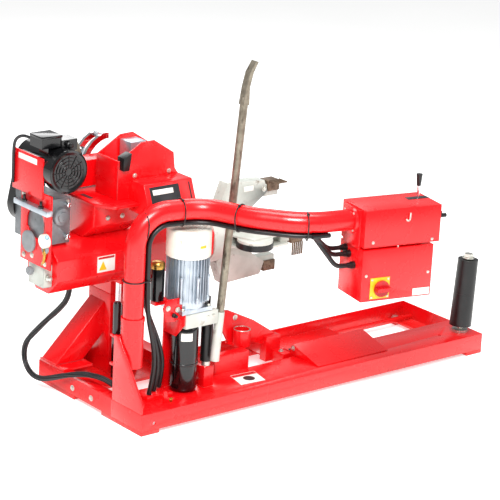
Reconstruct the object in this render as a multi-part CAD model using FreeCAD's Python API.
import FreeCAD, Part
import math
import os
from FreeCAD import Rotation, Vector

# Heavy-duty wheel and tyre changer.
# Lengths are millimetres. Sizes below are measured from the front left corner of the base,
# on the floor: X runs along the front rail, Y runs to the back and Z is up. Each node is then
# moved so that the origin is the centre of the four anchor holes, on the floor.

# ---- driving dimensions -------------------------------------------------------------------
BASE_LENGTH = 1785.0
RAIL_DEPTH = 200.0              # front rail, front to back
RAIL_TOP = 85.0
RAIL_WALL = 6.0
FOOT_HEIGHT = 15.0
FOOT_LENGTH = 85.0
LEFT_DEPTH = 696.0              # depth of the base at its left end
RIGHT_DEPTH = 497.0             # depth of the base at its right end
SIDE_TOP = 88.0
CROSS_X = 440.0
CROSS_WIDTH = 60.0
ANCHOR_INSET = 65.0
ANCHOR_FRONT = 235.0
ANCHOR_REAR = 473.0
ANCHOR_RADIUS = 7.0

POST_X, POST_Y = 52.0, 150.0    # swing axis of the boom
BOOM_RADIUS = 40.0
BOOM_WALL = 4.0
BOOM_HEIGHT = 830.0
BOOM_BEND = 130.0
SOCKET_RADIUS = 44.0
SOCKET_LOW, SOCKET_TOP = 228.0, 410.0
SPIGOT_RADIUS = 33.0
GUSSET_THICK = 8.0
HOSE_BLOCK_TOP = 104.0          # block on the rail where the hanging hoses end
RUN_GAP = 0.05                  # radial clearance of a turning shaft
FACE_GAP = 0.5                  # gap between faces that pass each other

CONSOLE_ANGLE = -12.1           # the console is turned towards the operator
CONSOLE_X, CONSOLE_Y = 714.0, -388.0
CONSOLE_TOP = BOOM_HEIGHT + 55.0
CONSOLE_WIDTH = 328.0
CONSOLE_DEPTH = 177.0
UPPER_HEIGHT = 145.0
CONSOLE_GAP = 10.0
LOWER_HEIGHT = 203.0
LOWER_WIDTH = 305.0
SHEET = 2.0
HOSE_RADIUS = 9.0
JOYSTICK_U = 286.0              # place of the lever along the console
GLANDS = [(105.0, 39.0), (66.0, 73.0), (133.0, 23.0)]  # v, and depth under the lower case's top
SIDE_LEVERS = (34.0, 66.0)      # places of the side levers, from the console's front
CABLES_RADIUS = 12.0
CABLE_ENTRY = (90.0, 214.0, 64.0)       # end of the cable bundle, at the gland behind the front rail
HOSE_JOIN = 560.0               # height where the strapped hoses become the hanging ones

SPINDLE_Y, SPINDLE_Z = 468.0, 571.0
BEAM_FLAT = 204.0               # across the flats of the octagonal beam
BEAM_WALL = 10.0
BEAM_LEFT, BEAM_RIGHT = -150.0, 600.0
SPINDLE_RADIUS = 35.0
SPINDLE_GEAR_X = -115.0         # gear on the spindle, inside the beam
SPINDLE_GEAR_RADIUS = 80.0
GEARBOX_LEFT, GEARBOX_RIGHT = -190.0, -75.0
GEARBOX_FRONT, GEARBOX_TOP = 400.0, 850.0
HOUSING_BACK = 601.0            # back face of the gearbox and of the drive motor
WORM_X, WORM_Z = -122.0, 782.0
WORM_RADIUS = 24.0
WORM_PULLEY, MOTOR_PULLEY = 63.0, 27.0
BELT_Y = 625.0
MOTOR_X, MOTOR_Z = -121.0, 966.0
MOTOR_RADIUS = 74.0
MOTOR_FRONT = 350.0
MOTOR_PLATE_FRONT = 398.0
DRIVE_PLATE = 8.0               # the two upright plates of the drive

HUB_RADIUS = 110.0
HUB_THICK = 60.0
PIVOT_X, PIVOT_R = 700.0, 80.0  # jaw arm pivots: place along the spindle and distance from it
LUG_HALF = 18.0
ARM_PLATE = 8.0
PIN_RADIUS = 12.0
ARM_COUNT = 4
DRUM_X, DRUM_R = 745.0, 180.0     # round hold-down drum of the front arm, and its distance from the spindle
DRUM_RADIUS = 72.0

COLUMN_SIZE = 150.0
COLUMN_X = 300.0
COLUMN_Y = LEFT_DEPTH - RAIL_WALL - 3.0 - COLUMN_SIZE / 2.0     # close to the rear rail
BRACE_WIDTH = 126.0
BRACE_FRONT, BRACE_BACK = 576.0, 674.0
COLUMN_WALL = 8.0
COLUMN_TOP = 370.0
SLIDE_GAP = 1.0
FLOOR_PLATE_TOP = 33.0
SEAT_LOW = 447.0                # under side of the lifting plate
LIFT_X, LIFT_Y = 236.0, 500.0
LIFT_RADIUS = 20.0
LIFT_ROD = 11.0

HEAD_RIGHT = 214.0
TOP_PLATE_LOW, TOP_PLATE_TOP = 818.0, 830.0
TOWER_LEFT, TOWER_RIGHT = 90.0, 374.0
TOWER_FRONT, TOWER_BACK = 330.0, 475.0
TOWER_FOOT = 875.0              # lower edge of the tower beside the head plate
PANEL_LOW, PANEL_TOP = 786.0, 905.0     # sloping label panel in front of the tower
PANEL_FRONT, PANEL_LIP = 240.0, 192.0
PANEL_LEFT = 147.0
TOOL_RAIL_Y = 560.0
TOOL_RAIL_RADIUS = 15.0
TOOL_RAIL_Z = (865.0, 915.0)
TOOL_RAIL_END = TOWER_RIGHT - 14.0
TOOL_PIN_X, TOOL_PIN_Z = 150.0, 885.0
TOOL_ARM_Y = 664.0
DISC_X = 90.0
DISC_RADIUS = 62.0

PUMP_X, PUMP_Y = 300.0, 145.0
RESERVOIR_RADIUS = 54.0
RESERVOIR_LOW, RESERVOIR_TOP = 88.0, 360.0
PUMP_FLANGE_Z = 420.0
PUMP_MOTOR_RADIUS = 80.0
PUMP_FLANGE = 16.0
PUMP_COVER_RADIUS = 87.0
PUMP_TOP = 750.0
PUMP_COVER_LOW = 638.0          # lower edge of the fan cover, where the fins end

HOLDER_X, HOLDER_Y, HOLDER_Z = 412.0, 84.0, 302.0
HOLDER_LENGTH = 200.0
HOLDER_RADIUS = 18.0
LEVER_LEAN = 4.6
LEVER_RADIUS = 15.5
LEVER_LENGTH = 1040.0

ROLLER_X, ROLLER_Y = BASE_LENGTH - 59.0, 79.0
ROLLER_LEAN = 3.0
SPARE_X, SPARE_Y = 402.0, 136.0

DECK_LEFT, DECK_RIGHT = 880.0, 1330.0
DECK_LOW = 38.5
RAMP_LEFT, RAMP_RIGHT = 915.0, 1290.0
ROLLER_ENDS = (RAMP_LEFT + 35.0, RAMP_RIGHT - 35.0)      # roller behind the ramp
STOP_Y, STOP_Z = 292.0, 66.0
EAR_THICK = 6.0
RUNNER_Y = (250.0, 430.0)
RUNNER_WIDTH = 20.0
STEP_TOP = 156.0                # box welded behind the front rail, left of the platform
CUP_X, CUP_Y = 700.0, 285.0
CUP_LOW, CUP_TOP = 148.0, 216.0
CUP_RADIUS, CUP_BORE = 36.0, 30.0

ORIGIN = Vector(BASE_LENGTH / 2.0, (ANCHOR_FRONT + ANCHOR_REAR) / 2.0, 0.0)
AXES = {"x": Vector(1, 0, 0), "y": Vector(0, 1, 0), "z": Vector(0, 0, 1)}

os.makedirs("parts", exist_ok=True)


# ---- helpers ------------------------------------------------------------------------------
def box(x0, x1, y0, y1, z0, z1):
    return Part.makeBox(x1 - x0, y1 - y0, z1 - z0, Vector(x0, y0, z0))


def column(half, z0, z1):
    """Square block round the lifting column's axis."""
    return box(COLUMN_X - half, COLUMN_X + half, COLUMN_Y - half, COLUMN_Y + half, z0, z1)


def rod(x, y, z, axis, radius, length):
    return Part.makeCylinder(radius, length, Vector(x, y, z), AXES[axis])


def ring(x, y, z, axis, outer, inner, length):
    return rod(x, y, z, axis, outer, length).cut(rod(x, y, z, axis, inner, length))


def prism(points, axis, low, high):
    """Extrude an outline: (y, z) along x, (x, z) along y or (x, y) along z."""
    make = {
        "x": lambda a, b: Vector(low, a, b),
        "y": lambda a, b: Vector(a, low, b),
        "z": lambda a, b: Vector(a, b, low),
    }[axis]
    corners = [make(a, b) for a, b in points]
    face = Part.Face(Part.makePolygon(corners + corners[:1]))
    return face.extrude(AXES[axis] * (high - low))


def circle_hull(axis, low, high, a0, b0, r0, a1, b1, r1):
    """Solid with two round ends joined by straight tangents, as a belt guard has."""
    reach = math.hypot(a1 - a0, b1 - b0)
    base = math.atan2(b1 - b0, a1 - a0)
    lean = math.acos((r0 - r1) / reach)
    corners = []
    for a, b, r, sign in ((a0, b0, r0, 1), (a1, b1, r1, 1), (a1, b1, r1, -1), (a0, b0, r0, -1)):
        turn = base + sign * lean
        corners.append((a + r * math.cos(turn), b + r * math.sin(turn)))
    body = prism(corners, axis, low, high)
    for a, b, r in ((a0, b0, r0), (a1, b1, r1)):
        start = {"x": (low, a, b), "y": (a, low, b), "z": (a, b, low)}[axis]
        body = body.fuse(rod(*start, axis, r, high - low))
    return body.removeSplitter()


def fuse(*shapes):
    body = shapes[0]
    for shape in shapes[1:]:
        body = body.fuse(shape)
    return body.removeSplitter()


def group(*shapes):
    return Part.makeCompound([solid for shape in shapes for solid in shape.Solids])


def turned(shape, centre, axis, degrees):
    copy = shape.copy()
    copy.rotate(centre, axis, degrees)
    return copy


def route(points, radii):
    """Wire of straight runs joined by tangent arcs of the given radii."""
    points = [Vector(*p) for p in points]
    edges = []
    start = points[0]
    for before, corner, after, radius in zip(points, points[1:], points[2:], radii):
        into = (corner - before).normalize()
        away = (after - corner).normalize()
        half = into.getAngle(away) / 2.0
        cut = radius * math.tan(half)
        first = corner - into * cut
        last = corner + away * cut
        inward = (away - into).normalize()
        middle = corner + inward * (radius / math.cos(half) - radius)
        edges.append(Part.LineSegment(start, first).toShape())
        edges.append(Part.Arc(first, middle, last).toShape())
        start = last
    edges.append(Part.LineSegment(start, points[-1]).toShape())
    return Part.Wire(edges)


def sweep(wire, radius):
    start = wire.Edges[0].Vertexes[0].Point
    if (wire.Edges[1].Vertexes[0].Point - start).Length < 1e-6:
        start = wire.Edges[0].Vertexes[1].Point
    heading = wire.Edges[0].tangentAt(wire.Edges[0].FirstParameter)
    profile = Part.Wire(Part.makeCircle(radius, start, heading))
    return wire.makePipeShell([profile], True, False)


def cord_radii(points):
    """Each arc is as large as its two runs allow: 0.45 of the shorter run."""
    points = [Vector(*p) for p in points]
    radii = []
    for before, corner, after in zip(points, points[1:], points[2:]):
        shorter = min((corner - before).Length, (after - corner).Length)
        half = (corner - before).getAngle(after - corner) / 2.0
        radii.append(0.45 * shorter / math.tan(half))
    return radii


def cord(name, points, radius):
    radii = cord_radii(points)
    wire = route(points, radii)
    print(name, "length", round(wire.Length), "radii", [round(r) for r in radii])
    save(name, sweep(wire, radius))


def save(name, shape):
    moved = shape.copy()
    moved.translate(-ORIGIN)
    moved.exportStep("parts/" + name + ".step")
    size = moved.BoundBox
    ok = all(solid.isValid() for solid in moved.Solids)
    print(f"{name:22s} solids {len(moved.Solids):3d} valid {ok} volume {moved.Volume / 1000.0:9.1f} cm3",
          f"x {size.XMin:.0f}..{size.XMax:.0f} y {size.YMin:.0f}..{size.YMax:.0f}",
          f"z {size.ZMin:.0f}..{size.ZMax:.0f}")


# ---- base ---------------------------------------------------------------------------------
def base_front_rail():
    rail = box(0, BASE_LENGTH, 0, RAIL_DEPTH, FOOT_HEIGHT, RAIL_TOP)
    inside = box(RAIL_WALL, BASE_LENGTH - RAIL_WALL, RAIL_WALL, RAIL_DEPTH - RAIL_WALL,
                 FOOT_HEIGHT, RAIL_TOP - RAIL_WALL)
    handling_hole = rod(60, -1, 42, "y", 7, RAIL_WALL + 2)
    top_hole = rod(BASE_LENGTH - 175, ROLLER_Y, RAIL_TOP - RAIL_WALL - 1, "z", 7, RAIL_WALL + 2)
    before, end = [Vector(*point) for point in head_route()[-2:]]
    gland = Part.makeCylinder(CABLES_RADIUS + 5, 40, end, end - before)
    gland = gland.cut(box(0, BASE_LENGTH, 0, RAIL_DEPTH, 0, RAIL_TOP))
    return group(rail.cut(inside).cut(handling_hole).cut(top_hole), gland.Solids[0])


def base_side_rails():
    inner = RAIL_WALL
    bottom = FOOT_HEIGHT + RAIL_WALL
    left = fuse(
        box(0, inner, RAIL_DEPTH, LEFT_DEPTH - inner, FOOT_HEIGHT, SIDE_TOP),
        box(inner, 50, RAIL_DEPTH, LEFT_DEPTH - inner, FOOT_HEIGHT, bottom),
        box(inner, 50, RAIL_DEPTH, LEFT_DEPTH - inner, SIDE_TOP - inner, SIDE_TOP))
    rear_left = box(0, CROSS_X + CROSS_WIDTH, LEFT_DEPTH - inner, LEFT_DEPTH, FOOT_HEIGHT, SIDE_TOP)
    cross = box(CROSS_X, CROSS_X + CROSS_WIDTH, RAIL_DEPTH, LEFT_DEPTH - inner, FOOT_HEIGHT, RAIL_TOP)
    cross = cross.cut(box(CROSS_X + 5, CROSS_X + CROSS_WIDTH - 5, RAIL_DEPTH, LEFT_DEPTH - inner,
                          FOOT_HEIGHT + 5, RAIL_TOP - 5))
    right = fuse(
        box(BASE_LENGTH - inner, BASE_LENGTH, RAIL_DEPTH, RIGHT_DEPTH, FOOT_HEIGHT, RAIL_TOP),
        box(BASE_LENGTH - 95, BASE_LENGTH - inner, RAIL_DEPTH, RIGHT_DEPTH - inner, FOOT_HEIGHT, bottom))
    for y in (ANCHOR_FRONT, ANCHOR_REAR):
        right = right.cut(rod(BASE_LENGTH - ANCHOR_INSET, y, FOOT_HEIGHT - 1, "z", ANCHOR_RADIUS, 20))
    rear_right = box(CROSS_X + CROSS_WIDTH, BASE_LENGTH - inner, RIGHT_DEPTH - inner, RIGHT_DEPTH,
                     FOOT_HEIGHT, RAIL_TOP)
    runners = []
    for y in RUNNER_Y:
        runners.append(box(CROSS_X + CROSS_WIDTH, BASE_LENGTH - inner, y, y + RUNNER_WIDTH, bottom,
                           DECK_LOW - FACE_GAP))
    step_box = box(CROSS_X + CROSS_WIDTH, 672, RAIL_DEPTH, RUNNER_Y[0] - 4, FOOT_HEIGHT,
                   STEP_TOP)
    floor_plate = box(RAIL_WALL, CROSS_X, 430, LEFT_DEPTH - inner, bottom, FLOOR_PLATE_TOP)
    floor_plate = floor_plate.cut(box(0, 100, 420, 500, 0, 100))
    return group(left, rear_left, cross, right, rear_right, *runners, step_box, floor_plate)


def base_feet():
    feet = []
    for left in (True, False):
        x0 = 0 if left else BASE_LENGTH - FOOT_LENGTH
        anchor_x = ANCHOR_INSET if left else BASE_LENGTH - ANCHOR_INSET
        rear_end = LEFT_DEPTH if left else RIGHT_DEPTH
        ends = ((0, ANCHOR_FRONT + 27, ANCHOR_FRONT), (ANCHOR_REAR - 27, rear_end, ANCHOR_REAR))
        for y0, y1, anchor_y in ends:
            foot = box(x0, x0 + FOOT_LENGTH, y0, y1, 0, FOOT_HEIGHT)
            feet.append(foot.cut(rod(anchor_x, anchor_y, -1, "z", ANCHOR_RADIUS, FOOT_HEIGHT + 2)))
    return group(*feet)


# ---- lifting column -----------------------------------------------------------------------
def lift_column():
    half = COLUMN_SIZE / 2.0
    tube = column(half, FLOOR_PLATE_TOP, COLUMN_TOP)
    return tube.cut(column(half - COLUMN_WALL, FLOOR_PLATE_TOP, COLUMN_TOP))


def column_brace():
    """Diagonal box from the left rail up to the column, on its foot plate."""
    column_left = COLUMN_X - COLUMN_SIZE / 2.0
    plate_top = SIDE_TOP + 12
    rise = column_left
    outer = prism([(0, plate_top), (BRACE_WIDTH, plate_top), (column_left, plate_top + rise - BRACE_WIDTH),
                   (column_left, plate_top + rise + 6), (0, plate_top + 6)], "y", BRACE_FRONT, BRACE_BACK)
    inner = prism([(8, plate_top - 1), (BRACE_WIDTH - 8, plate_top - 1),
                   (column_left + 1, plate_top + rise - BRACE_WIDTH + 10),
                   (column_left + 1, plate_top + rise - 3), (8, plate_top + 4)],
                  "y", BRACE_FRONT + 6, BRACE_BACK - 6)
    foot = box(0, BRACE_WIDTH + 14, 523, LEFT_DEPTH - RAIL_WALL, SIDE_TOP, plate_top)
    return group(outer.cut(inner), foot)


def lift_cylinder():
    barrel = rod(LIFT_X, LIFT_Y, FLOOR_PLATE_TOP, "z", LIFT_RADIUS, 300)
    bore = rod(LIFT_X, LIFT_Y, FLOOR_PLATE_TOP + 12, "z", LIFT_RADIUS - 4, 276)
    rod_hole = rod(LIFT_X, LIFT_Y, FLOOR_PLATE_TOP + 280, "z", LIFT_ROD + RUN_GAP, 30)
    return barrel.cut(bore).cut(rod_hole)


def lift_slide():
    """Inner square tube that runs in the column, with the plate that carries the head."""
    half = COLUMN_SIZE / 2.0 - COLUMN_WALL - SLIDE_GAP
    beam_bottom = SPINDLE_Z - BEAM_FLAT / 2.0
    low = FLOOR_PLATE_TOP + 20
    tube = column(half, low, SEAT_LOW).cut(column(half - 8, low, SEAT_LOW))
    collar = column(COLUMN_SIZE / 2.0, COLUMN_TOP + FACE_GAP, SEAT_LOW)
    collar = collar.cut(column(half - 8, COLUMN_TOP, SEAT_LOW))
    plate = box(LIFT_X - 40, COLUMN_X + 85, SPINDLE_Y - 36, COLUMN_Y + 78, SEAT_LOW, beam_bottom)
    return fuse(tube, collar, plate)


def lift_rod():
    piston_z = FLOOR_PLATE_TOP + 14
    piston = rod(LIFT_X, LIFT_Y, piston_z, "z", LIFT_RADIUS - 4 - RUN_GAP, 20)
    return fuse(piston, rod(LIFT_X, LIFT_Y, piston_z, "z", LIFT_ROD, SEAT_LOW - piston_z))


# ---- head: beam, saddle and tower -----------------------------------------------------------
def octagon(flat):
    half = flat / 2.0
    side = half * math.tan(math.pi / 8.0)
    return [(SPINDLE_Y + a, SPINDLE_Z + b) for a, b in
            ((-side, -half), (side, -half), (half, -side), (half, side),
             (side, half), (-side, half), (-half, side), (-half, -side))]


def head_beam():
    beam = prism(octagon(BEAM_FLAT), "x", BEAM_LEFT, BEAM_RIGHT)
    beam = beam.cut(prism(octagon(BEAM_FLAT - 2 * BEAM_WALL), "x", BEAM_LEFT + 20, BEAM_RIGHT - 20))
    return beam.cut(rod(BEAM_LEFT - 1, SPINDLE_Y, SPINDLE_Z, "x", SPINDLE_RADIUS + RUN_GAP,
                        BEAM_RIGHT - BEAM_LEFT + 2))


def head_saddle():
    beam_top = SPINDLE_Z + BEAM_FLAT / 2.0
    side = BEAM_FLAT / 2.0 * math.tan(math.pi / 8.0)
    outline = [(SPINDLE_Y - side, beam_top), (SPINDLE_Y + side, beam_top), (575, beam_top + 60),
               (575, TOP_PLATE_LOW), (350, TOP_PLATE_LOW), (350, beam_top + 60)]
    inner = [(SPINDLE_Y - side + 6, beam_top + 8), (SPINDLE_Y + side - 6, beam_top + 8),
             (567, beam_top + 65), (567, TOP_PLATE_LOW), (358, TOP_PLATE_LOW), (358, beam_top + 65)]
    body = prism(outline, "x", 0, HEAD_RIGHT).cut(prism(inner, "x", 8, HEAD_RIGHT + 1))
    plate = prism([(-8, 600), (-8, 345), (35, 262), (PANEL_LEFT, 262), (PANEL_LEFT, TOWER_FRONT),
                   (HEAD_RIGHT, TOWER_FRONT), (HEAD_RIGHT, 600)], "z", TOP_PLATE_LOW, TOP_PLATE_TOP)
    corners = [edge for edge in plate.Edges
               if abs(edge.tangentAt(0).z) > 0.9 and edge.CenterOfMass.x < 40]
    return fuse(body, plate.makeFillet(28, corners))


def tower_box():
    """Open-topped sheet box on the head, with a shaped front and back plate."""
    wall = 6.0
    outline = [(TOWER_LEFT, TOP_PLATE_TOP), (TOWER_LEFT, 981), (197, 1045), (257, 1047), (352, 987),
               (360, 925), (TOWER_RIGHT, PANEL_TOP), (TOWER_RIGHT, TOWER_FOOT), (HEAD_RIGHT, TOWER_FOOT),
               (HEAD_RIGHT, TOP_PLATE_TOP)]
    body = prism(outline, "y", TOWER_FRONT, TOWER_BACK)
    inside = box(TOWER_LEFT + wall, TOWER_RIGHT - wall, TOWER_FRONT + wall, TOWER_BACK - wall,
                 TOWER_FOOT + wall, 1100)
    block = box(190, 262, 390, 460, TOWER_FOOT + wall, 1030).cut(rod(226, 389, 985, "y", 18, 80))
    return group(body.cut(inside), block)


def tool_guide():
    """Sloping panel box in front of the tower, and the round rails of the tool carriage behind it."""
    sheet = 4.0
    slope = [(TOWER_FRONT, PANEL_TOP), (PANEL_FRONT, PANEL_TOP), (PANEL_LIP, PANEL_LOW + 6),
             (PANEL_LIP, PANEL_LOW), (TOWER_FRONT, PANEL_LOW)]
    hollow = [(TOWER_FRONT - sheet, PANEL_TOP - sheet), (PANEL_FRONT + sheet, PANEL_TOP - sheet),
              (PANEL_LIP + 2 * sheet, PANEL_LOW), (TOWER_FRONT - sheet, PANEL_LOW)]
    panel = prism(slope, "x", PANEL_LEFT, TOWER_RIGHT)
    panel = panel.cut(prism(hollow, "x", PANEL_LEFT + sheet, TOWER_RIGHT - sheet))
    left_end = box(-8, 6, 530, 600, TOP_PLATE_TOP, 950)
    right_end = box(TOOL_RAIL_END, TOWER_RIGHT, TOWER_BACK, 600, TOWER_FOOT - 30, 950)
    rails = [rod(6, TOOL_RAIL_Y, z, "x", TOOL_RAIL_RADIUS, TOOL_RAIL_END - 6) for z in TOOL_RAIL_Z]
    return group(panel, left_end, right_end, *rails)


# ---- chuck drive ----------------------------------------------------------------------------
def gearbox_housing():
    """Cast worm gearbox on top of the beam, and the oil union block on the beam's end."""
    beam_top = SPINDLE_Z + BEAM_FLAT / 2.0
    body = box(GEARBOX_LEFT, GEARBOX_RIGHT, GEARBOX_FRONT, HOUSING_BACK, beam_top, GEARBOX_TOP)
    body = body.cut(box(GEARBOX_LEFT + 12, GEARBOX_RIGHT - 12, GEARBOX_FRONT + 12, HOUSING_BACK - 12,
                        beam_top + 12, GEARBOX_TOP - 12))
    boss = rod(WORM_X, GEARBOX_FRONT - 14, WORM_Z, "y", 34, 20)
    bore = rod(WORM_X, GEARBOX_FRONT - 15, WORM_Z, "y", 15 + RUN_GAP, HOUSING_BACK - GEARBOX_FRONT + 20)
    union = box(GEARBOX_LEFT, BEAM_LEFT, 400, 500, 505, 592)
    return group(body.fuse(boss).cut(bore), union)


def drive_frame():
    """Two upright plates at the left of the drive: one with an arched window, one for the motor."""
    inner = GEARBOX_LEFT - DRIVE_PLATE
    outer = inner - DRIVE_PLATE
    support = box(inner, GEARBOX_LEFT, 348, 550, 590, 880)
    window = fuse(box(inner - 1, GEARBOX_LEFT + 1, 392, 510, 728, 752),
                  rod(inner - 1, 451, 752, "x", 59, DRIVE_PLATE + 2))
    motor_plate = box(outer, inner, MOTOR_PLATE_FRONT, HOUSING_BACK, 857, 1015)
    return fuse(support.cut(window), motor_plate)


def drive_motor():
    """Foot-mounted motor lying front to back, with its terminal box and fan cover."""
    plate_side = GEARBOX_LEFT - DRIVE_PLATE
    start = MOTOR_PLATE_FRONT - 10
    body = rod(MOTOR_X, start, MOTOR_Z, "y", MOTOR_RADIUS, HOUSING_BACK - start)
    cover = rod(MOTOR_X, MOTOR_FRONT, MOTOR_Z, "y", MOTOR_RADIUS + 10, MOTOR_PLATE_FRONT - 2 - MOTOR_FRONT)
    fan_room = rod(MOTOR_X, MOTOR_FRONT + 6, MOTOR_Z, "y", MOTOR_RADIUS - 4, 34)
    crown = MOTOR_Z + MOTOR_RADIUS
    terminal = box(MOTOR_X - 86, MOTOR_X + 2, 405, 485, crown + 10, crown + 54)
    pedestal = box(MOTOR_X - 50, MOTOR_X + 2, 415, 475, crown - 20, crown + 12)
    capacitor = box(MOTOR_X, MOTOR_X + 70, 400, 470, crown - 8, crown + 36)
    feet = box(plate_side, MOTOR_X - 50, 430, 560, MOTOR_Z - 50, MOTOR_Z + 45)
    shaft_hole = rod(MOTOR_X, MOTOR_FRONT + 12, MOTOR_Z, "y", 12 + RUN_GAP, 400)
    return fuse(body, cover, terminal, pedestal, capacitor, feet).cut(fan_room).cut(shaft_hole)


def drive_rotor():
    shaft = rod(MOTOR_X, MOTOR_FRONT + 18, MOTOR_Z, "y", 12, BELT_Y + 10 - MOTOR_FRONT - 18)
    fan = rod(MOTOR_X, MOTOR_FRONT + 20, MOTOR_Z, "y", 58, 12)
    pulley = rod(MOTOR_X, BELT_Y - 12, MOTOR_Z, "y", MOTOR_PULLEY, 22)
    return fuse(shaft, fan, pulley)


def worm_shaft():
    start = GEARBOX_FRONT - 10
    shaft = rod(WORM_X, start, WORM_Z, "y", 15, BELT_Y + 10 - start)
    worm = rod(WORM_X, SPINDLE_Y - 45, WORM_Z, "y", WORM_RADIUS, 90)
    pulley = rod(WORM_X, BELT_Y - 12, WORM_Z, "y", WORM_PULLEY, 22)
    return fuse(shaft, worm, pulley)


def belt_guard():
    """Hollow cover over both pulleys, with room all round the belt."""
    low, high, sheet, room = HOUSING_BACK, BELT_Y + 20, 3.0, 14.0
    big, small = WORM_PULLEY + room, MOTOR_PULLEY + room
    outer = circle_hull("y", low, high, WORM_X, WORM_Z, big, MOTOR_X, MOTOR_Z, small)
    inner = circle_hull("y", low + sheet, high - sheet, WORM_X, WORM_Z, big - sheet,
                        MOTOR_X, MOTOR_Z, small - sheet)
    body = outer.cut(inner)
    for x, z in ((WORM_X, WORM_Z), (MOTOR_X, MOTOR_Z)):
        body = body.cut(rod(x, low - 1, z, "y", 30, 2 * sheet))
    return body


def spindle():
    left = BEAM_LEFT + 2
    shaft = rod(left, SPINDLE_Y, SPINDLE_Z, "x", SPINDLE_RADIUS, BEAM_RIGHT + 20 - left)
    gear = rod(SPINDLE_GEAR_X, SPINDLE_Y, SPINDLE_Z, "x", SPINDLE_GEAR_RADIUS, 40)
    return fuse(shaft, gear)


# ---- chuck ----------------------------------------------------------------------------------
def around_spindle(shape, index):
    centre = Vector(0, SPINDLE_Y, SPINDLE_Z)
    return turned(shape, centre, AXES["x"], 360.0 / ARM_COUNT * index)


def chuck_hub():
    left = BEAM_RIGHT + FACE_GAP
    disc = rod(left, SPINDLE_Y, SPINDLE_Z, "x", HUB_RADIUS, HUB_THICK)
    nose = rod(left, SPINDLE_Y, SPINDLE_Z, "x", 45, HUB_THICK + 95)
    hub = disc.fuse(nose)
    lug = box(left + HUB_THICK - 1, PIVOT_X + 25, SPINDLE_Y - LUG_HALF, SPINDLE_Y + LUG_HALF,
              SPINDLE_Z + 30, SPINDLE_Z + PIVOT_R + 20)
    hole = rod(PIVOT_X, SPINDLE_Y - LUG_HALF - 1, SPINDLE_Z + PIVOT_R, "y", PIN_RADIUS + RUN_GAP,
               2 * LUG_HALF + 2)
    for index in range(ARM_COUNT):
        hub = hub.fuse(around_spindle(lug.cut(hole), index))
    shaft_room = rod(left - 1, SPINDLE_Y, SPINDLE_Z, "x", SPINDLE_RADIUS, 20.0 - FACE_GAP + 1)
    return hub.removeSplitter().cut(shaft_room)


def chuck_arm(index, with_drum):
    """Two side plates joined by a web, with the pivot pin and the serrated jaw block."""
    inner = LUG_HALF + FACE_GAP
    outer = inner + ARM_PLATE
    def across_arm(outline, low, high):
        """Outline in (x, distance from the spindle), thickened from low to high across the arm."""
        return prism([(x, SPINDLE_Z + r) for x, r in outline], "y", SPINDLE_Y + low, SPINDLE_Y + high)

    outline = [(680, 58), (680, 125), (714, 212), (905, 200), (925, 150), (800, 62)]
    plates = [across_arm(outline, low, low + ARM_PLATE) for low in (-outer, inner)]
    web = across_arm([(716, 203), (904, 191), (904, 200), (714, 212)], -inner, inner)
    heel = across_arm([(680, 118), (688, 118), (722, 203), (714, 212), (680, 125)], -inner, inner)
    pin = rod(PIVOT_X, SPINDLE_Y - outer - 6, SPINDLE_Z + PIVOT_R, "y", PIN_RADIUS, 2 * outer + 12)
    jaw = box(880, 985, SPINDLE_Y - inner, SPINDLE_Y + inner, SPINDLE_Z + 128, SPINDLE_Z + 178)
    step = box(925, 985, SPINDLE_Y - outer, SPINDLE_Y + outer, SPINDLE_Z + 150, SPINDLE_Z + 192)
    drum = rod(DRUM_X, SPINDLE_Y - inner, SPINDLE_Z + DRUM_R, "y", DRUM_RADIUS, 2 * inner)
    stiffeners = [drum] if with_drum else [web, heel]
    return around_spindle(group(fuse(*plates, pin, *stiffeners), fuse(jaw, step)), index)


# ---- bead tools -----------------------------------------------------------------------------
def tool_carriage():
    block = box(30, 190, 524, 598, 838, 942)
    for z in TOOL_RAIL_Z:
        block = block.cut(rod(29, TOOL_RAIL_Y, z, "x", TOOL_RAIL_RADIUS + RUN_GAP, 162))
    pin = rod(TOOL_PIN_X, 598, TOOL_PIN_Z, "y", 15, 114)
    return fuse(block, pin)


def tool_arm():
    """Curved double arm on a pivot block, with its hook between the tips."""
    low, high = TOOL_ARM_Y - 40, TOOL_ARM_Y + 40
    block = box(TOOL_PIN_X - 32, TOOL_PIN_X + 32, low, high, TOOL_PIN_Z - 32, TOOL_PIN_Z + 32)
    centre_x, centre_z, outer, inner = TOOL_PIN_X + 120, TOOL_PIN_Z - 10, 135.0, 112.0
    reach = []
    for radius, angles in ((outer, range(175, 99, -15)), (inner, range(100, 176, 15))):
        for angle in angles:
            turn = math.radians(angle)
            reach.append((centre_x + radius * math.cos(turn), centre_z + radius * math.sin(turn)))
    bars = [prism(reach, "y", y, y + 14) for y in (low + 6, high - 20)]
    hook = box(centre_x - 42, centre_x - 12, low + 6, high - 6, centre_z + 108, centre_z + 132)
    stub = rod(DISC_X, TOOL_ARM_Y, TOOL_PIN_Z + 50, "x", 12, TOOL_PIN_X - DISC_X)
    stem = box(TOOL_PIN_X - 14, TOOL_PIN_X + 14, TOOL_ARM_Y - 14, TOOL_ARM_Y + 14, TOOL_PIN_Z + 30,
               TOOL_PIN_Z + 66)
    body = fuse(block, *bars, hook, stub, stem)
    return body.cut(rod(TOOL_PIN_X, low - 1, TOOL_PIN_Z, "y", 15 + RUN_GAP, high - low + 2))


def bead_disc():
    z = TOOL_PIN_Z + 50
    disc = Part.makeCone(DISC_RADIUS - 14, DISC_RADIUS, 12, Vector(DISC_X + 8, TOOL_ARM_Y, z), AXES["x"])
    hub = rod(DISC_X - 4, TOOL_ARM_Y, z, "x", 24, 24)
    return fuse(disc, hub).cut(rod(DISC_X, TOOL_ARM_Y, z, "x", 12 + RUN_GAP, 30))


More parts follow.
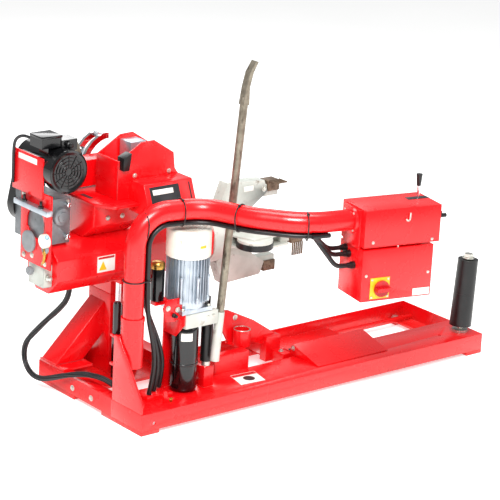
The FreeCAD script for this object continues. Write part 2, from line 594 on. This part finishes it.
# ---- boom -----------------------------------------------------------------------------------
def console_point(u, v, z):
    """Point u along the console's front, v behind it, at height z."""
    turn = math.radians(CONSOLE_ANGLE)
    return Vector(CONSOLE_X + u * math.cos(turn) - v * math.sin(turn),
                  CONSOLE_Y + u * math.sin(turn) + v * math.cos(turn), z)


def on_console(shape):
    """Turn and move a shape modelled with its corner at the console's front left."""
    placed = turned(shape, Vector(0, 0, 0), AXES["z"], CONSOLE_ANGLE)
    placed.translate(Vector(CONSOLE_X, CONSOLE_Y, 0))
    return placed


BOOM_END = console_point(-20, CONSOLE_DEPTH / 2.0, 0)
BOOM_PLAN = [(POST_X, POST_Y), (325, 98), (405, -95),
             (BOOM_END.x - 178 * math.cos(math.radians(CONSOLE_ANGLE)),
              BOOM_END.y - 178 * math.sin(math.radians(CONSOLE_ANGLE))),
             (BOOM_END.x, BOOM_END.y)]
BOOM_RADII = [150.0, 290.0, 250.0]


def beside_boom(across, below, low_z, end_back):
    """Route that follows the boom at a distance across and below its centre line."""
    headings = []
    for (x0, y0), (x1, y1) in zip(BOOM_PLAN, BOOM_PLAN[1:]):
        reach = math.hypot(x1 - x0, y1 - y0)
        headings.append(((x1 - x0) / reach, (y1 - y0) / reach))
    points = []
    radii = [BOOM_BEND - below]
    z = BOOM_HEIGHT - below
    first = headings[0]
    corner = (POST_X + below * first[0] - across * first[1], POST_Y + below * first[1] + across * first[0])
    points.append((corner[0], corner[1], low_z))
    points.append((corner[0], corner[1], z))
    for (x, y), (ax, ay), (bx, by), radius in zip(BOOM_PLAN[1:], headings, headings[1:], BOOM_RADII):
        share = across / (1 + ax * bx + ay * by)
        points.append((x - share * (ay + by), y + share * (ax + bx), z))
        turning_left = ax * by - ay * bx > 0
        radii.append(radius - across if turning_left else radius + across)
    ax, ay = headings[-1]
    end_x, end_y = BOOM_PLAN[-1]
    points.append((end_x - end_back * ax - across * ay, end_y - end_back * ay + across * ax, z))
    return points, radii


def boom_tube():
    points, radii = beside_boom(0, 0, SOCKET_TOP + FACE_GAP, 0)
    wire = route(points, radii)
    outer = sweep(wire, BOOM_RADIUS)
    inner = sweep(wire, BOOM_RADIUS - BOOM_WALL)
    tube = outer.cut(inner)
    collar = ring(POST_X, POST_Y, SOCKET_TOP + FACE_GAP, "z", SOCKET_RADIUS + 2, BOOM_RADIUS, 14)
    plug = rod(POST_X, POST_Y, SOCKET_TOP + FACE_GAP, "z", BOOM_RADIUS - BOOM_WALL, 60)
    spigot_low = SOCKET_LOW + 8
    spigot = rod(POST_X, POST_Y, spigot_low, "z", SPIGOT_RADIUS, SOCKET_TOP + FACE_GAP + 10 - spigot_low)
    return group(tube, collar, fuse(plug, spigot))


def boom_socket():
    body = rod(POST_X, POST_Y, SOCKET_LOW, "z", SOCKET_RADIUS, SOCKET_TOP - SOCKET_LOW)
    return body.cut(rod(POST_X, POST_Y, SOCKET_LOW + 4, "z", SOCKET_RADIUS - 4, SOCKET_TOP))


def boom_bushes():
    inner = SPIGOT_RADIUS + RUN_GAP
    return group(*[ring(POST_X, POST_Y, z, "z", SOCKET_RADIUS - 4, inner, 40)
                   for z in (SOCKET_LOW + 4, SOCKET_TOP - 40)])


def hose_routes():
    """Hanging hoses from the foot of the strapped run to the block under the socket."""
    starts = [beside_boom(side, drop, HOSE_JOIN - FACE_GAP, 150.0)[0][0] for side, drop in HOSE_PLACES]
    end = HOSE_BLOCK_TOP + 2
    ends = [
        [(96, 121, 490), (104, 119, 410), (124, 117, 330), (138, 117, 245), (133, 120, 170), (121, 123, end)],
        [(103, 140, 490), (118, 138, 410), (146, 138, 330), (170, 139, 245), (173, 142, 170),
         (160, 145, end)],
        [(106, 160, 490), (134, 160, 410), (172, 160, 330), (205, 161, 245), (213, 165, 170),
         (201, 169, end)],
    ]
    return [[start] + rest for start, rest in zip(starts, ends)]


def head_route():
    """Cable bundle from under the beam, down behind the brace and forward along the left rail."""
    beam_bottom = SPINDLE_Z - BEAM_FLAT / 2.0 - 2.0
    return [(0, 494, beam_bottom), (0, 500, 410), (-8, 548, 350), (-22, 610, 290), (-36, 670, 225),
            (-50, 722, 165), (-58, 722, 103), (-58, 684, 54), (-52, 624, 39), (-40, 557, 61),
            (-28, 484, 94), (-12, 412, 121), (14, 352, 132), (50, 300, 122), (78, 256, 90), CABLE_ENTRY]


def boom_gusset():
    outline = [(2, RAIL_TOP), (RAIL_DEPTH - 4, RAIL_TOP), (RAIL_DEPTH - 4, 345), (RAIL_DEPTH - 10, 351),
               (165, 351), (159, 345), (2, 129)]
    plate = prism(outline, "x", 0, GUSSET_THICK)
    block = box(100, 222, 104, 188, RAIL_TOP, HOSE_BLOCK_TOP)
    return group(plate, block)


def console_bracket():
    """Round flange on the boom's end, bolted to a plate on the console's left side."""
    middle = CONSOLE_DEPTH / 2.0
    flange = rod(-20, middle, BOOM_HEIGHT, "x", 52, 12)
    plate = box(-8, 0, middle - 62, middle + 62, lower_top(), BOOM_HEIGHT + 50)
    floor_z = CONSOLE_TOP - UPPER_HEIGHT
    floor = box(0, CONSOLE_WIDTH, 0, CONSOLE_DEPTH, floor_z, floor_z + 3)
    return on_console(group(fuse(flange, plate), floor))


def console_cover():
    low = CONSOLE_TOP - UPPER_HEIGHT + 3
    shell = box(0, CONSOLE_WIDTH, 0, CONSOLE_DEPTH, low, CONSOLE_TOP)
    shell = shell.cut(box(SHEET, CONSOLE_WIDTH - SHEET, SHEET, CONSOLE_DEPTH - SHEET, low,
                          CONSOLE_TOP - SHEET))
    slot = box(248, 324, 100, 116, CONSOLE_TOP - 5, CONSOLE_TOP + 5)
    side_slots = [box(CONSOLE_WIDTH - 5, CONSOLE_WIDTH + 5, v - 5, v + 5, CONSOLE_TOP - 88, CONSOLE_TOP - 22)
                  for v in SIDE_LEVERS]
    return on_console(shell.cut(slot).cut(side_slots[0]).cut(side_slots[1]))


def lower_top():
    return CONSOLE_TOP - UPPER_HEIGHT - CONSOLE_GAP


def console_lower_case():
    top = lower_top()
    case = box(0, LOWER_WIDTH, SHEET, CONSOLE_DEPTH, top - LOWER_HEIGHT, top)
    case = case.cut(box(SHEET, LOWER_WIDTH - SHEET, 0, CONSOLE_DEPTH - SHEET, top - LOWER_HEIGHT + SHEET,
                        top - SHEET))
    posts = [rod(u, v, top, "z", 9, CONSOLE_GAP)
             for u in (40, LOWER_WIDTH - 40) for v in (40, CONSOLE_DEPTH - 40)]
    return on_console(group(case, *posts))


def console_lower_panel():
    top = lower_top()
    panel = box(0, LOWER_WIDTH, 0, SHEET, top - LOWER_HEIGHT, top)
    hole = rod(84, -1, top - LOWER_HEIGHT + 50, "y", 8, 5)
    return on_console(panel.cut(hole))


def console_internals():
    """Mounting plate, contactors and terminal strip in the lower case, lever block above."""
    low = lower_top() - LOWER_HEIGHT
    back = CONSOLE_DEPTH - SHEET
    plate = box(20, LOWER_WIDTH - 20, back - 5, back, low + 20, low + 180)
    contactors = [box(u, u + 45, back - 90, back - 5, low + 90, low + 165) for u in (60, 115, 170)]
    strip = box(50, 250, back - 50, back - 5, low + 35, low + 65)
    floor = CONSOLE_TOP - UPPER_HEIGHT + 3
    valve = box(262, 310, 78, 138, floor, floor + 58)
    valve = valve.cut(box(270, 302, 95, 121, floor + 30, floor + 60))
    valve = valve.cut(rod(JOYSTICK_U, 77, joystick_z(), "y", 6 + RUN_GAP, 62))
    lever_block = box(CONSOLE_WIDTH - 60, CONSOLE_WIDTH - 30, 20, 77.5, floor, floor + 104)
    for v in SIDE_LEVERS:
        lever_block = lever_block.cut(box(CONSOLE_WIDTH - 61, CONSOLE_WIDTH - 29, v - 6, v + 6,
                                          side_lever_z() - 26, floor + 105))
        lever_block = lever_block.cut(rod(CONSOLE_WIDTH - 45, v - 11, side_lever_z(), "y", 4 + RUN_GAP, 22))
    return on_console(group(plate, *contactors, strip, valve, lever_block))


def gland_height(depth):
    return lower_top() - depth


def cable_glands():
    shapes = []
    for v, depth in GLANDS:
        nut = rod(-14, v, gland_height(depth), "x", 14, 14)
        shapes.append(fuse(nut, rod(-26, v, gland_height(depth), "x", 11, 14)))
    return on_console(group(*shapes))


def joystick_z():
    return CONSOLE_TOP - UPPER_HEIGHT + 47


def side_lever_z():
    return CONSOLE_TOP - 55


def joystick_lever():
    z = joystick_z()
    pin = rod(JOYSTICK_U, 80, z, "y", 6, 56)
    stem = rod(JOYSTICK_U, 108, z, "z", 5, 150)
    knob = Part.makeCone(8, 12, 46, Vector(JOYSTICK_U, 108, z + 146), AXES["z"])
    hub = rod(JOYSTICK_U, 97, z, "y", 9.5, 22)
    return on_console(fuse(pin, stem, knob, hub))


def side_lever(v):
    z = side_lever_z()
    pin = rod(CONSOLE_WIDTH - 45, v - 10, z, "y", 4, 20)
    stem = rod(CONSOLE_WIDTH - 45, v, z, "x", 4, 62)
    grip = rod(CONSOLE_WIDTH + 8, v, z, "x", 8, 34)
    return on_console(fuse(pin, stem, grip))


def main_switch_knob():
    z = lower_top() - LOWER_HEIGHT + 50
    stem = rod(84, -6, z, "y", 8 - RUN_GAP, 30)
    dial = rod(84, -14, z, "y", 32, 8)
    bar = box(84 - 30, 84 + 30, -34, -12, z - 7, z + 7)
    return on_console(fuse(stem, dial, bar))


HOSE_PLACES = [(-19.5, 47.5), (0.0, BOOM_RADIUS + HOSE_RADIUS + 1), (19.5, 47.5)]


def boom_hoses():
    """Hoses strapped under the boom, from the post to the console's glands."""
    shapes = []
    for (side, drop), (v, depth) in zip(HOSE_PLACES, GLANDS):
        points, radii = beside_boom(side, drop, HOSE_JOIN, 150.0)
        tip = console_point(-26, v, gland_height(depth))
        near = console_point(-78, v, gland_height(depth))
        points += [tuple(near), tuple(tip)]
        leave = cord_radii(points)[-2:]
        wire = route(points, radii + [min(r, 90.0) for r in leave])
        shapes.append(sweep(wire, HOSE_RADIUS))
    return group(*shapes)


# ---- pump unit and lever holder -------------------------------------------------------------
def pump_reservoir():
    body = rod(PUMP_X, PUMP_Y, RESERVOIR_LOW, "z", RESERVOIR_RADIUS, RESERVOIR_TOP - RESERVOIR_LOW)
    return body.cut(rod(PUMP_X, PUMP_Y, RESERVOIR_LOW + 3, "z", RESERVOIR_RADIUS - 3, RESERVOIR_TOP))


def pump_manifold():
    block = box(PUMP_X - 55, PUMP_X + 55, PUMP_Y - 38, PUMP_Y + 54, RESERVOIR_TOP, PUMP_FLANGE_Z)
    return block.cut(rod(PUMP_X, PUMP_Y, RESERVOIR_TOP + 20, "z", 14, 60))


def pump_motor_body():
    flange = box(PUMP_X - 72, PUMP_X + 72, PUMP_Y - 72, PUMP_Y + 72, PUMP_FLANGE_Z,
                 PUMP_FLANGE_Z + PUMP_FLANGE)
    body = rod(PUMP_X, PUMP_Y, PUMP_FLANGE_Z, "z", PUMP_MOTOR_RADIUS - 10,
               PUMP_COVER_LOW - PUMP_FLANGE_Z)
    base = rod(PUMP_X, PUMP_Y, PUMP_FLANGE_Z + PUMP_FLANGE, "z", PUMP_MOTOR_RADIUS - 8, 34)
    fins = []
    for index in range(36):
        fin = box(PUMP_X + PUMP_MOTOR_RADIUS - 12, PUMP_X + PUMP_MOTOR_RADIUS + 4, PUMP_Y - 1.5, PUMP_Y + 1.5,
                  PUMP_FLANGE_Z + 40, PUMP_COVER_LOW)
        fins.append(turned(fin, Vector(PUMP_X, PUMP_Y, 0), AXES["z"], index * 10.0))
    shape = fuse(body, base, flange, *fins)
    hole = rod(PUMP_X, PUMP_Y, PUMP_FLANGE_Z - 1, "z", 12 + RUN_GAP, 300)
    stator = rod(PUMP_X, PUMP_Y, PUMP_FLANGE_Z + 20, "z", 46, 150)
    return shape.cut(hole).cut(stator)


def pump_motor_cover():
    low = PUMP_COVER_LOW
    shell = rod(PUMP_X, PUMP_Y, low, "z", PUMP_COVER_RADIUS, PUMP_TOP - low)
    shell = shell.makeFillet(10, [edge for edge in shell.Edges if edge.CenterOfMass.z > PUMP_TOP - 1])
    shell = shell.cut(rod(PUMP_X, PUMP_Y, low + 4, "z", PUMP_COVER_RADIUS - 3, PUMP_TOP - low - 11))
    shell = shell.cut(rod(PUMP_X, PUMP_Y, low - 1, "z", 40, 6))
    for index in range(-5, 6):
        half = math.sqrt((PUMP_COVER_RADIUS - 18) ** 2 - (index * 12.0) ** 2)
        x = PUMP_X + index * 12
        shell = shell.cut(box(x - 2.5, x + 2.5, PUMP_Y - half, PUMP_Y + half, PUMP_TOP - 8, PUMP_TOP + 1))
    return shell


def pump_rotor():
    shaft = rod(PUMP_X, PUMP_Y, RESERVOIR_TOP + 24, "z", 12, 300)
    pack = rod(PUMP_X, PUMP_Y, PUMP_FLANGE_Z + 24, "z", 44, 142)
    fan = rod(PUMP_X, PUMP_Y, PUMP_TOP - 80, "z", 74, 4)
    return fuse(shaft, pack, fan)


def power_stand():
    """Bent bracket that carries the pump unit from the front rail."""
    back = box(PUMP_X - 60, PUMP_X + 60, PUMP_Y + 54.5, PUMP_Y + 62.5, RAIL_TOP, PUMP_FLANGE_Z)
    shelf = box(PUMP_X - 60, PUMP_X + 60, PUMP_Y + 54, PUMP_Y + 54.5, RESERVOIR_TOP, PUMP_FLANGE_Z)
    cheek = prism([(PUMP_Y - 72, RESERVOIR_TOP + 20), (PUMP_Y - 72, PUMP_FLANGE_Z),
                   (PUMP_Y + 54.5, PUMP_FLANGE_Z), (PUMP_Y + 54.5, RESERVOIR_TOP - 40),
                   (PUMP_Y - 20, RESERVOIR_TOP - 40)],
                  "x", PUMP_X - 62, PUMP_X - 56)
    return fuse(back, shelf, cheek)


def lever_holder():
    """Tube that stores the tyre lever, welded to a bar on the pump unit."""
    bar = box(PUMP_X - 54, HOLDER_X - 12, HOLDER_Y - 14, HOLDER_Y + 14, RESERVOIR_TOP + 2, PUMP_FLANGE_Z - 2)
    bar = bar.cut(box(PUMP_X - 48, HOLDER_X - 10, HOLDER_Y - 9, HOLDER_Y + 15, RESERVOIR_TOP + 8,
                      PUMP_FLANGE_Z - 8))
    pads = box(PUMP_X - 40, PUMP_X + 40, HOLDER_Y - 9, PUMP_Y - 38, RESERVOIR_TOP + 14, PUMP_FLANGE_Z - 14)
    tube = rod(HOLDER_X, HOLDER_Y, HOLDER_Z - HOLDER_LENGTH / 2.0, "z", HOLDER_RADIUS, HOLDER_LENGTH)
    bore = rod(HOLDER_X, HOLDER_Y, HOLDER_Z - HOLDER_LENGTH / 2.0 + 6, "z", LEVER_RADIUS + 0.6, HOLDER_LENGTH)
    centre = Vector(HOLDER_X, HOLDER_Y, HOLDER_Z)
    tube = turned(tube, centre, AXES["y"], LEVER_LEAN)
    bore = turned(bore, centre, AXES["y"], LEVER_LEAN)
    return fuse(bar, pads, tube).cut(bore)


def tyre_lever():
    """Bar with a flat curved spoon at its upper end."""
    low = HOLDER_Z - HOLDER_LENGTH / 2.0 + 6.5
    bar = rod(HOLDER_X, HOLDER_Y, low, "z", LEVER_RADIUS, LEVER_LENGTH)
    top = low + LEVER_LENGTH
    spoon = prism([(HOLDER_X - 14, top - 30), (HOLDER_X + 14, top - 30), (HOLDER_X + 8, top + 40),
                   (HOLDER_X + 18, top + 95), (HOLDER_X + 36, top + 135), (HOLDER_X + 26, top + 138),
                   (HOLDER_X + 2, top + 95), (HOLDER_X - 8, top + 40)], "y", HOLDER_Y - 15, HOLDER_Y + 15)
    return turned(fuse(bar, spoon), Vector(HOLDER_X, HOLDER_Y, HOLDER_Z), AXES["y"], LEVER_LEAN)


# ---- rollers --------------------------------------------------------------------------------
def roller_posts():
    """Leaning pin of the bead roller at the right, and the square boss and pin of the spare one."""
    foot = rod(ROLLER_X, ROLLER_Y, RAIL_TOP, "z", 34, 10)
    pin = rod(0, 0, 0, "z", 14, 330)
    washer = rod(0, 0, 318, "z", 26, 5)
    nut = prism([(20 * math.cos(math.radians(a)), 20 * math.sin(math.radians(a))) for a in range(0, 360, 60)],
                "z", 323, 338)
    pin = turned(fuse(pin, washer, nut), Vector(0, 0, 0), AXES["y"], ROLLER_LEAN)
    pin.translate(Vector(ROLLER_X, ROLLER_Y, RAIL_TOP + 4))
    boss = box(SPARE_X - 23, SPARE_X + 23, SPARE_Y - 23, SPARE_Y + 23, RAIL_TOP, 168)
    spare = rod(SPARE_X, SPARE_Y, 160, "z", 12, 182)
    collar = rod(SPARE_X, SPARE_Y, 168, "z", 18, 20)
    cap = rod(SPARE_X, SPARE_Y, 340, "z", 16, 4)
    return group(fuse(foot, pin), fuse(boss, spare, collar, cap))


def bead_roller():
    """Two plastic sleeves, one above the other, on the leaning pin."""
    bore = 14 + RUN_GAP
    shapes = []
    for low, height, bottom, top in ((24, 142, 47, 45), (166.5, 148, 45, 43)):
        sleeve = Part.makeCone(bottom, top, height, Vector(0, 0, low), AXES["z"])
        shapes.append(sleeve.cut(rod(0, 0, low - 1, "z", bore, height + 2)))
    sleeves = turned(group(*shapes), Vector(0, 0, 0), AXES["y"], ROLLER_LEAN)
    sleeves.translate(Vector(ROLLER_X, ROLLER_Y, RAIL_TOP + 4))
    return sleeves


def spare_roller():
    return ring(SPARE_X, SPARE_Y, 188.5, "z", 23.5, 12 + RUN_GAP, 150)


# ---- wheel platform -------------------------------------------------------------------------
def platform_deck():
    deck = box(DECK_LEFT, DECK_RIGHT, RAIL_DEPTH + 6, RIGHT_DEPTH - 12, DECK_LOW, DECK_LOW + 6)
    guides = []
    for y in RUNNER_Y:
        for side in (y - FACE_GAP - 4, y + RUNNER_WIDTH + FACE_GAP):
            guides.append(box(DECK_LEFT, DECK_RIGHT, side, side + 4, DECK_LOW - 12, DECK_LOW))
    return fuse(deck, *guides)


def platform_ramp():
    """Ramp over the front rail, its cheeks, and the linkage with the round socket at its left."""
    deck_top = DECK_LOW + 6
    low, ridge_y, ridge_z = RAIL_TOP + 0.6, 215.0, 131.0
    ramp = prism([(52, low), (ridge_y, ridge_z - 5), (258, deck_top), (266, deck_top), (ridge_y, ridge_z),
                  (52, low + 3)], "x", RAMP_LEFT, RAMP_RIGHT)
    cheek = [(60, low), (RAIL_DEPTH + 3, low), (RAIL_DEPTH + 8, deck_top), (258, deck_top),
             (ridge_y, ridge_z - 5)]
    cheeks = [prism(cheek, "x", x, x + 6) for x in (RAMP_LEFT, (RAMP_LEFT + RAMP_RIGHT) / 2, RAMP_RIGHT - 6)]
    cup = ring(CUP_X, CUP_Y, CUP_LOW + 6, "z", CUP_RADIUS, CUP_BORE, CUP_TOP - CUP_LOW - 6)
    cup = cup.fuse(rod(CUP_X, CUP_Y, CUP_LOW, "z", CUP_RADIUS, 6))
    link = prism([(600, 262), (628, 292), (655, 292), (790, 226), (905, 150), (905, 96), (880, 96),
                  (760, CUP_LOW), (664, CUP_LOW)], "y", CUP_Y + CUP_RADIUS, CUP_Y + 48)
    shelf = prism([(CUP_X - CUP_RADIUS, CUP_Y), (CUP_X + CUP_RADIUS, CUP_Y), (CUP_X + 48, CUP_Y + 48),
                   (CUP_X - 48, CUP_Y + 48)], "z", CUP_LOW, CUP_LOW + 6)
    cross = box(840, RAMP_LEFT - 1, CUP_Y + 10, CUP_Y + 48, deck_top, 150)
    tie = box(RAMP_LEFT - 40, RAMP_LEFT, 225, CUP_Y + 48, deck_top, 92)
    ears = []
    for x in (ROLLER_ENDS[0] - EAR_THICK - FACE_GAP, ROLLER_ENDS[1] + FACE_GAP):
        ear = box(x, x + EAR_THICK, STOP_Y - 16, STOP_Y + 16, deck_top, STOP_Z + 16)
        ears.append(ear.cut(rod(x - 1, STOP_Y, STOP_Z, "x", 6 + RUN_GAP, EAR_THICK + 2)))
    return group(fuse(ramp, *cheeks), fuse(cup, link, shelf, cross, tie), *ears)


def platform_roller():
    length = ROLLER_ENDS[1] - ROLLER_ENDS[0]
    body = rod(ROLLER_ENDS[0], STOP_Y, STOP_Z, "x", 13, length)
    pin = rod(ROLLER_ENDS[0] - EAR_THICK - 2, STOP_Y, STOP_Z, "x", 6, length + 2 * EAR_THICK + 4)
    return fuse(body, pin)


def main():
    cord("drop_hose_front", hose_routes()[0], HOSE_RADIUS)
    cord("drop_hose_middle", hose_routes()[1], HOSE_RADIUS)
    cord("drop_hose_rear", hose_routes()[2], HOSE_RADIUS)
    cord("head_cables", head_route(), CABLES_RADIUS)
    save("base_front_rail", base_front_rail())
    save("base_side_rails", base_side_rails())
    save("base_feet", base_feet())
    save("lift_column", lift_column())
    save("column_brace", column_brace())
    save("lift_cylinder", lift_cylinder())
    save("lift_slide", lift_slide())
    save("lift_rod", lift_rod())
    save("head_beam", head_beam())
    save("head_saddle", head_saddle())
    save("tower_box", tower_box())
    save("tool_guide", tool_guide())
    save("gearbox_housing", gearbox_housing())
    save("drive_frame", drive_frame())
    save("drive_motor", drive_motor())
    save("drive_rotor", drive_rotor())
    save("worm_shaft", worm_shaft())
    save("belt_guard", belt_guard())
    save("spindle", spindle())
    save("chuck_hub", chuck_hub())
    for index, name in enumerate(("upper", "front", "lower", "rear")):
        save("chuck_arm_" + name, chuck_arm(index, name == "front"))
    save("tool_carriage", tool_carriage())
    save("tool_arm", tool_arm())
    save("bead_disc", bead_disc())
    save("boom_gusset", boom_gusset())
    save("boom_socket", boom_socket())
    save("boom_bushes", boom_bushes())
    save("boom_tube", boom_tube())
    save("console_bracket", console_bracket())
    save("console_cover", console_cover())
    save("console_lower_case", console_lower_case())
    save("console_lower_panel", console_lower_panel())
    save("console_internals", console_internals())
    save("cable_glands", cable_glands())
    save("joystick_lever", joystick_lever())
    save("side_lever_front", side_lever(SIDE_LEVERS[0]))
    save("side_lever_rear", side_lever(SIDE_LEVERS[1]))
    save("main_switch_knob", main_switch_knob())
    save("boom_hoses", boom_hoses())
    save("pump_reservoir", pump_reservoir())
    save("pump_manifold", pump_manifold())
    save("pump_motor_body", pump_motor_body())
    save("pump_motor_cover", pump_motor_cover())
    save("pump_rotor", pump_rotor())
    save("power_stand", power_stand())
    save("lever_holder", lever_holder())
    save("tyre_lever", tyre_lever())
    save("roller_posts", roller_posts())
    save("bead_roller", bead_roller())
    save("spare_roller", spare_roller())
    save("platform_deck", platform_deck())
    save("platform_ramp", platform_ramp())
    save("platform_roller", platform_roller())


main()
